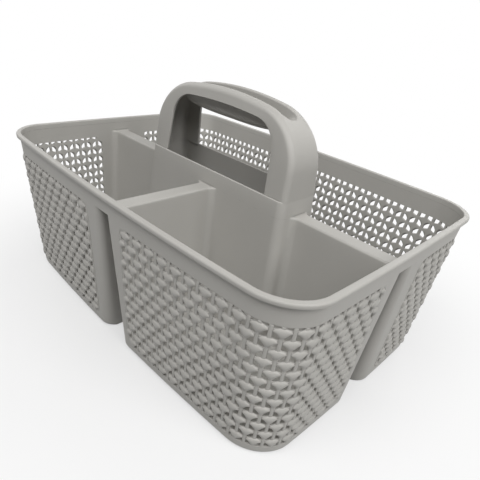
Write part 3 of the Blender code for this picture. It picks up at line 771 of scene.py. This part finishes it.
    def add_beads(self, skin):
        """The strands' closed swellings, one in front of every second post."""
        half = np.array(BEAD)
        stations = np.concatenate([half * (-1, 1, 1, 1), half[-2::-1]]) * MILLIMETRE * (self.widen, 1, 1, 1)
        shares = (1 - np.cos(np.linspace(0, math.pi, 11))) / 2
        profile = np.sqrt(np.maximum(1 - (2 * shares - 1) ** 2, 0))
        rise = mix(stations[:, 1:2], stations[:, 2:3], shares[None, :])
        out = STRAND_BACK + (stations[:, 3:4] - STRAND_BACK) * profile[None, :]
        centres = np.array([(self.first_post + k * self.pitch, self.first_bead - row * self.row_pitch)
                            for row in range(BEAD_ROWS) for k in range(self.posts)
                            if (k + row) % 2 == 1])
        along = centres[:, 0, None, None] + stations[None, :, 0:1]
        along = np.broadcast_to(along, (len(centres), *rise.shape))
        z = centres[:, 1, None, None] + rise[None]
        fade = smooth_step(self.inside(along, z), 0, STRAND_FADE)
        out = STRAND_ROOT + (out[None] - STRAND_ROOT) * fade
        z = np.clip(z, FIELD_FOOT, FIELD_HEAD)
        along = np.clip(along, self.low, self.high)
        skin.grids(self.place(along, z, out), self.outward(centres[0, 0]), wrap=True, middle_face=True)

    def build(self, material):
        lattice, beads = Skin(), Skin()
        self.add_plate(lattice)
        self.add_posts(lattice)
        self.add_border(lattice)
        lattice.piece(f"{self.name}_lattice", material, [self.node])
        self.add_beads(beads)
        beads.piece(f"{self.name}_strands", material, [self.node])


def arch(foot_half, top, crown_radius, radius, lean_share):
    """Half of the handle's arch in XZ, from its foot to the middle: leg, shoulder, flat crown."""
    foot_z = BODY_HEIGHT - HANDLE_SINK
    lean = math.atan(lean_share)
    centre_z = top - radius
    # The shoulder's middle settles where it touches both the leg and the crown
    for _ in range(30):
        touch_z = centre_z + radius * math.sin(lean)
        centre_x = foot_half - lean_share * (touch_z - foot_z) - radius * math.cos(lean)
        tilt = math.asin(centre_x / (crown_radius - radius))
        centre_z = top - crown_radius + (crown_radius - radius) * math.cos(tilt)
    touch = (centre_x + radius * math.cos(lean), centre_z + radius * math.sin(lean))
    points = [(mix(foot_half, touch[0], k / 12), mix(foot_z, touch[1], k / 12)) for k in range(12)]
    for k in range(29):
        angle = mix(lean, math.pi / 2 - tilt, k / 28)
        points.append((centre_x + radius * math.cos(angle), centre_z + radius * math.sin(angle)))
    for k in range(1, 15):
        angle = tilt * (1 - k / 14)
        points.append((crown_radius * math.sin(angle), top - crown_radius + crown_radius * math.cos(angle)))
    return np.array(points)


OUTER_ARCH = arch(WELL_LENGTH / 2, HANDLE_HEIGHT, HANDLE_CROWN_RADIUS, SHOULDER_RADIUS, LEG_LEAN_SHARE)
INNER_ARCH = arch(WELL_LENGTH / 2 - LEG_DEPTH, HANDLE_HEIGHT - FLANGE_DEPTH, OPENING_CROWN_RADIUS,
                  OPENING_CORNER_RADIUS, OPENING_LEAN_SHARE)


def handle_half_width(z):
    return WELL_WIDTH / 2 - HANDLE_LEDGE - HANDLE_DRAFT_SHARE * (z - BODY_HEIGHT)


def top_height(x):
    """Height of the handle's outer arch at a distance from its middle."""
    order = np.argsort(OUTER_ARCH[:, 0])
    return np.interp(np.abs(x), OUTER_ARCH[order, 0], OUTER_ARCH[order, 1])


def grip_low(x):
    """Height of the grip trough's underside, which rises steeply at its ends."""
    half_length = GRIP_LENGTH / 2
    end = top_height(half_length) - GRIP_END_DEPTH
    return mix(HANDLE_HEIGHT - GRIP_DEPTH, end, np.minimum((x / half_length) ** 4, 1))


def handle_profile(span, wide, low):
    """Half of the channel's cross-section as depth and half width: top edge, flange, its tip and the inside."""
    edge, tip, bend = HANDLE_EDGE_RADIUS, FLANGE_TIP, CHANNEL_BEND
    profile = [(edge * (1 - math.cos(a)), wide - edge + edge * math.sin(a))
               for a in quarter_turn(9)]
    drop = (low - wide) / (span - edge)
    profile += [(mix(edge, span - tip, k / 4), wide + drop * (mix(edge, span - tip, k / 4) - edge))
                for k in range(1, 5)]
    profile += [(span - tip + tip * math.sin(a), low - tip + tip * math.cos(a))
                for a in np.linspace(0.4, math.pi / 2, 4)]
    profile += [(span - tip + tip * math.cos(a), low - HANDLE_WALL + tip - tip * math.sin(a))
                for a in quarter_turn(4)]
    profile += [(mix(span - tip, HANDLE_WALL + bend, k / 4), mix(low, wide, k / 4) - HANDLE_WALL)
                for k in range(1, 5)]
    profile += [(HANDLE_WALL + bend - bend * math.sin(a), wide - HANDLE_WALL - bend + bend * math.cos(a))
                for a in np.linspace(0.3, math.pi / 2, 5)]
    return profile


def handle_sections():
    """Half cross-sections along the whole arch, from its right foot to its left."""
    rows = []
    for outer, inner in zip(OUTER_ARCH, INNER_ARCH):
        span = math.dist(outer, inner)
        step = (inner - outer) / span
        profile = handle_profile(span, handle_half_width(outer[1]), handle_half_width(inner[1]))
        rows.append([(outer[0] + step[0] * depth, side, outer[1] + step[1] * depth) for depth, side in profile])
    rows = np.array(rows)
    return np.concatenate([rows, mirrored(rows[:-1], 0)[::-1]])


def patch_edge(x):
    """Half width of the handle's flat top at a distance from its middle."""
    return handle_half_width(top_height(x)) - HANDLE_EDGE_RADIUS


def stadium_half(x, half_length, half_width):
    """Half width of a stadium at a distance from its middle."""
    past = np.maximum(np.abs(x) - (half_length - half_width), 0)
    return np.sqrt(np.maximum(half_width ** 2 - past ** 2, 0))


def stadium_ring(half_length, half_width):
    """A stadium's outline: a half circle and a straight for each end."""
    points = []
    straight = half_length - half_width
    for side in (1, -1):
        for k in range(17):
            angle = math.pi / 2 - math.pi * k / 16
            points.append((side * (straight + half_width * math.cos(angle)),
                           side * half_width * math.sin(angle)))
        for k in range(1, 30):
            points.append((side * mix(straight, -straight, k / 30), -side * half_width))
    return np.array(points)


def patch_rim():
    """The outline of the patch round the grip's mouth, matched to the stations of a stadium ring."""
    points = []
    straight = GRIP_LENGTH / 2 - GRIP_WIDTH / 2
    edge_end = patch_edge(PATCH_HALF)
    for side in (1, -1):
        for k in range(17):
            share = k / 16
            if share <= 0.25:
                x = mix(straight, PATCH_HALF, share / 0.25)
                points.append((side * x, side * patch_edge(x)))
            elif share < 0.75:
                points.append((side * PATCH_HALF, side * edge_end * (1 - (share - 0.25) * 4)))
            else:
                x = mix(PATCH_HALF, straight, (share - 0.75) / 0.25)
                points.append((side * x, -side * patch_edge(x)))
        for k in range(1, 30):
            x = mix(straight, -straight, k / 30)
            points.append((side * x, -side * patch_edge(abs(x))))
    return np.array(points)


def grip_ring(shrink, end=0):
    """A ring inside the grip's mouth, drawn in all round and once more at its ends."""
    return stadium_ring(GRIP_LENGTH / 2 - shrink - end, GRIP_WIDTH / 2 - shrink)


def mouth_rows():
    """The handle's top round the grip's mouth, and the mouth's rounded lip."""
    rows = []
    for share in (0, 0.5, 1):
        flat = mix(patch_rim(), grip_ring(0), share)
        rows.append(np.column_stack([flat, top_height(flat[:, 0])]))
    for angle in quarter_turn(7)[1:]:
        ring = grip_ring(GRIP_LIP * math.sin(angle))
        rows.append(np.column_stack([ring, top_height(ring[:, 0]) - GRIP_LIP * (1 - math.cos(angle))]))
    return rows


def floor_rise(top, low):
    """How high the floor's fillet reaches: less where the trough is shallow."""
    return np.minimum(GRIP_FLOOR_FILLET, (top - low) * GRIP_FILLET_SHARE)


def on_middle_line(row):
    middle = row.copy()
    middle[:, 1] = 0
    return middle


def trough_inside(lip_row):
    """The grip's walls and filleted floor, from the lip's last row down to the middle line."""
    rows = [lip_row]
    for share in np.linspace(0.12, 1, 7):
        ring = grip_ring(GRIP_LIP + GRIP_SIDE_DRAFT * share, GRIP_END_SLOPE * share ** 2)
        top, low = top_height(ring[:, 0]) - GRIP_LIP, grip_low(ring[:, 0])
        rows.append(np.column_stack([ring, mix(top, low + GRIP_WALL + floor_rise(top, low), share)]))
    for angle in quarter_turn(7)[1:]:
        ring = grip_ring(GRIP_LIP + GRIP_SIDE_DRAFT + GRIP_FLOOR_FILLET * (1 - math.cos(angle)), GRIP_END_SLOPE)
        top, low = top_height(ring[:, 0]) - GRIP_LIP, grip_low(ring[:, 0])
        rows.append(np.column_stack([ring, low + GRIP_WALL + floor_rise(top, low) * (1 - math.sin(angle))]))
    middle = on_middle_line(rows[-1])
    return rows + [mix(rows[-1], middle, 0.5), middle]


def trough_outside():
    """The trough's underside as it shows in the handle's hollow: drafted walls, then a rounded bottom."""
    rows = []

    def height(x, share):
        return mix(top_height(x) - HANDLE_WALL + TROUGH_LAP, grip_low(x) + TROUGH_EASE, share)

    for share, shrink in TROUGH_WALL:
        ring = grip_ring(shrink, TROUGH_END_SLOPE * share)
        rows.append(np.column_stack([ring, height(ring[:, 0], share)]))
    share, shrink = TROUGH_WALL[-1]
    for angle in quarter_turn(8)[1:]:
        ring = grip_ring(shrink + GRIP_UNDER_FILLET * (1 - math.cos(angle)), TROUGH_END_SLOPE * share)
        low = mix(height(ring[:, 0], share), grip_low(ring[:, 0]), math.sin(angle))
        rows.append(np.column_stack([ring, low]))
    return rows + [on_middle_line(rows[-1])]


def build_handle(material):
    """The handle's hollow channel and the trough sunk into its top."""
    frame_skin = Skin()
    sections = handle_sections()
    frame_skin.grid(sections, (1, 0, 0.2))
    frame_skin.grid(mirrored(sections, 1), (1, 0, 0.2))
    top_line = sections[:len(OUTER_ARCH), 0]
    patch_end = [[PATCH_HALF, patch_edge(PATCH_HALF), float(top_height(PATCH_HALF))]]
    beyond = np.concatenate([top_line[top_line[:, 0] > PATCH_HALF], patch_end])
    ladder(frame_skin, beyond, 1, (1, 0, 0.2), across=8)
    ladder(frame_skin, mirrored(beyond, 0), 1, (-1, 0, 0.2), across=8)
    rows = mouth_rows()
    frame_skin.grid(rows, (0, 0, 1), wrap=True)
    lining = Skin()
    lining.grid(trough_inside(rows[-1]), (0, -1, 0), wrap=True)
    lining.grid(trough_outside(), (0, 1, 0), wrap=True)
    lining.piece("grip_trough", material, ["sunk_grip"])
    # The channel's ceiling on either side of the trough
    far = sections[:, -1]
    near = far.copy()
    near[:, 1] = stadium_half(near[:, 0], GRIP_LENGTH / 2, GRIP_WIDTH / 2 - TROUGH_LAP)
    for side in (1, -1):
        strip = np.stack([far, mix(far, near, 0.5), near])
        strip[..., 1] *= side
        frame_skin.grid(strip, (-1, 0, -0.2))
    frame_skin.piece("handle_frame", material, ["handle_left_leg", "handle_right_leg", "handle_arch"])


def feed(tree, node, inputs):
    """Give a node's inputs a value or another node's output."""
    for name, value in inputs.items():
        if isinstance(value, bpy.types.NodeSocket):
            tree.links.new(value, node.inputs[name])
        else:
            node.inputs[name].default_value = value


def add_node(tree, kind, inputs=None, **settings):
    node = tree.nodes.new("ShaderNode" + kind)
    for name, value in settings.items():
        setattr(node, name, value)
    feed(tree, node, inputs or {})
    return node


def moulded_plastic(name):
    """Matte moulded plastic: faint cloudy tone, painted shade darkening its crevices, spark-eroded grain and
    uneven sheen.
    """
    material = bpy.data.materials.new(name)
    material.use_nodes = True
    tree = material.node_tree
    place = add_node(tree, "TexCoord").outputs["Object"]
    cloud = add_node(tree, "TexNoise", {"Vector": place, "Scale": 14, "Detail": 4}).outputs["Fac"]
    grain = add_node(tree, "TexNoise", {"Vector": place, "Scale": 1400, "Detail": 3}).outputs["Fac"]
    tone = add_node(tree, "ValToRGB", {"Fac": cloud})
    dark, light = tone.color_ramp.elements
    dark.position, light.position = 0.3, 0.7
    dark.color = (0.428, 0.417, 0.390, 1)
    light.color = (0.455, 0.443, 0.416, 1)
    # Painted shade: ambient occlusion darkens the colour down to 22 percent in crevices, holes and tight corners,
    # where shade falls
    painted_crevice_shade = add_node(tree, "AmbientOcclusion", {"Distance": PAINTED_SHADE_REACH}, samples=8)
    painted_shade_factor = add_node(tree, "MapRange", {"Value": painted_crevice_shade.outputs["AO"], "From Min": 0.15, "From Max": 0.80,
                                           "To Min": 0.22})
    tone_with_painted_shade = add_node(tree, "VectorMath", {0: tone.outputs["Color"], "Scale": painted_shade_factor.outputs["Result"]},
                      operation="SCALE")
    sheen = add_node(tree, "MapRange", {"Value": cloud, "To Min": 0.46, "To Max": 0.60})
    bump = add_node(tree, "Bump", {"Height": grain, "Strength": 0.10, "Distance": GRAIN_DEPTH})
    shader = tree.nodes["Principled BSDF"]
    shader.inputs["Specular IOR Level"].default_value = 0.45
    feed(tree, shader, {"Base Color": tone_with_painted_shade.outputs["Vector"], "Roughness": sheen.outputs["Result"],
                        "Normal": bump.outputs["Normal"]})
    return material


def build_woven_walls(material):
    """The front walls mirror each other. The back wall has one field round both of its corners."""
    for side, mirror in (("right", False), ("left", True)):
        wall = WovenWall(f"front_{side}_wall", edge=FIELD_EDGE, centred=False, posts=36, margin=0.0018,
                         first_bead=0.118, row_pitch=0.00875, mirror=mirror, node=f"front_{side}_woven_wall")
        wall.build(material)
    wall = WovenWall("back_wall", edge=BACK_FIELD_EDGE, centred=True, posts=72, margin=0.0033,
                     first_bead=0.116, row_pitch=0.00883, mirror=False, node="back_woven_wall")
    wall.build(material)


def switched(tree, for_light, for_view):
    """One shader for what the camera and clear reflections see, another for the light it sheds."""
    path = add_node(tree, "LightPath").outputs
    seen = path["Is Camera Ray"]
    for ray in ("Is Glossy Ray", "Is Transmission Ray"):
        seen = add_node(tree, "Math", {0: seen, 1: path[ray]}, operation="MAXIMUM").outputs["Value"]
    return add_node(tree, "MixShader", {"Fac": seen, 1: for_light, 2: for_view}).outputs["Shader"]


def floor_paper():
    """White paper that keeps the basket's soft shadow and runs out into plain white."""
    paper = bpy.data.materials.new("white_floor")
    paper.use_nodes = True
    tree = paper.node_tree
    tree.nodes.clear()
    dim = add_node(tree, "BsdfDiffuse", {"Color": (0.42, 0.42, 0.42, 1)}).outputs["BSDF"]
    lit = add_node(tree, "BsdfDiffuse", {"Color": (0.80, 0.80, 0.80, 1)}).outputs["BSDF"]
    white = add_node(tree, "Emission", {"Strength": 1.0}).outputs["Emission"]
    place = add_node(tree, "NewGeometry").outputs["Position"]
    length = add_node(tree, "VectorMath", {0: place}, operation="LENGTH").outputs["Value"]
    run_out = add_node(tree, "MapRange", {"Value": length, "From Min": RUN_OUT_START, "From Max": RUN_OUT_END,
                                          "To Min": 0.45, "To Max": 1.0}, interpolation_type="SMOOTHSTEP")
    blend = add_node(tree, "MixShader", {"Fac": run_out.outputs["Result"], 1: lit, 2: white})
    add_node(tree, "OutputMaterial", {"Surface": switched(tree, dim, blend.outputs["Shader"])})
    return paper


def build_studio():
    """A white floor, a white surround that sheds little light, and soft lamps."""
    floor_mesh = bpy.data.meshes.new("studio_floor")
    square = [(x * FLOOR_REACH, y * FLOOR_REACH, 0) for x, y in ((-1, -1), (1, -1), (1, 1), (-1, 1))]
    floor_mesh.from_pydata(square, [], [(0, 1, 2, 3)])
    floor = new_object("studio_floor", floor_mesh)
    floor.location.z = -FLOOR_DROP
    floor_mesh.materials.append(floor_paper())
    world = bpy.data.worlds.new("studio")
    bpy.context.scene.world = world
    world.use_nodes = True
    tree = world.node_tree
    tree.nodes.clear()
    fill, white = (add_node(tree, "Background", {"Color": (1, 1, 1, 1), "Strength": strength}).outputs[0]
                   for strength in (FILL_STRENGTH, 1.0))
    add_node(tree, "OutputWorld", {"Surface": switched(tree, fill, white)})
    for lamp in LAMPS:
        soft_box(*lamp)


def soft_box(name, azimuth, elevation, power):
    """A square lamp that looks at the basket's middle. Azimuth 0 is in front and 90 to the right."""
    turn, rise = math.radians(azimuth), math.radians(elevation)
    away = Vector((math.sin(turn) * math.cos(rise), -math.cos(turn) * math.cos(rise), math.sin(rise)))
    data = bpy.data.lights.new(name, "AREA")
    data.shape = "SQUARE"
    data.size = LAMP_SIZE
    data.energy = power
    lamp = new_object(name, data)
    lamp.location = away * LAMP_DISTANCE + Vector((0, 0, LAMP_TARGET_HEIGHT))
    lamp.rotation_mode = "QUATERNION"
    lamp.rotation_quaternion = (-away).to_track_quat("-Z", "Y")


def build_camera():
    """The photograph's view: direction, tilt, lens and the picture's own middle."""
    azimuth, elevation, roll = (math.radians(a) for a in VIEW_ANGLES)
    back = Vector((math.sin(azimuth) * math.cos(elevation), -math.cos(azimuth) * math.cos(elevation),
                   math.sin(elevation)))
    right = (-back).cross(Vector((0, 0, 1))).normalized()
    down = (-back).cross(right)
    turned_right = math.cos(roll) * right + math.sin(roll) * down
    turned_down = math.cos(roll) * down - math.sin(roll) * right
    data = bpy.data.cameras.new("photo_view")
    data.sensor_width = VIEW_SENSOR
    data.lens = VIEW_LENS
    data.shift_x, data.shift_y = VIEW_SHIFT
    data.clip_start = 0.01
    camera = new_object("photo_view", data)
    axes = Matrix((turned_right, -turned_down, back)).transposed()
    camera.matrix_world = Matrix.Translation(VIEW_PLACE) @ axes.to_4x4()
    bpy.context.scene.camera = camera


bpy.context.scene.view_settings.view_transform = "Standard"
plastic = moulded_plastic("matte_taupe_plastic")
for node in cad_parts.values():
    node.data.materials.clear()
    node.data.materials.append(plastic)
build_body(plastic)
build_rim(plastic)
build_well(plastic)
build_woven_walls(plastic)
build_handle(plastic)
build_studio()
build_camera()
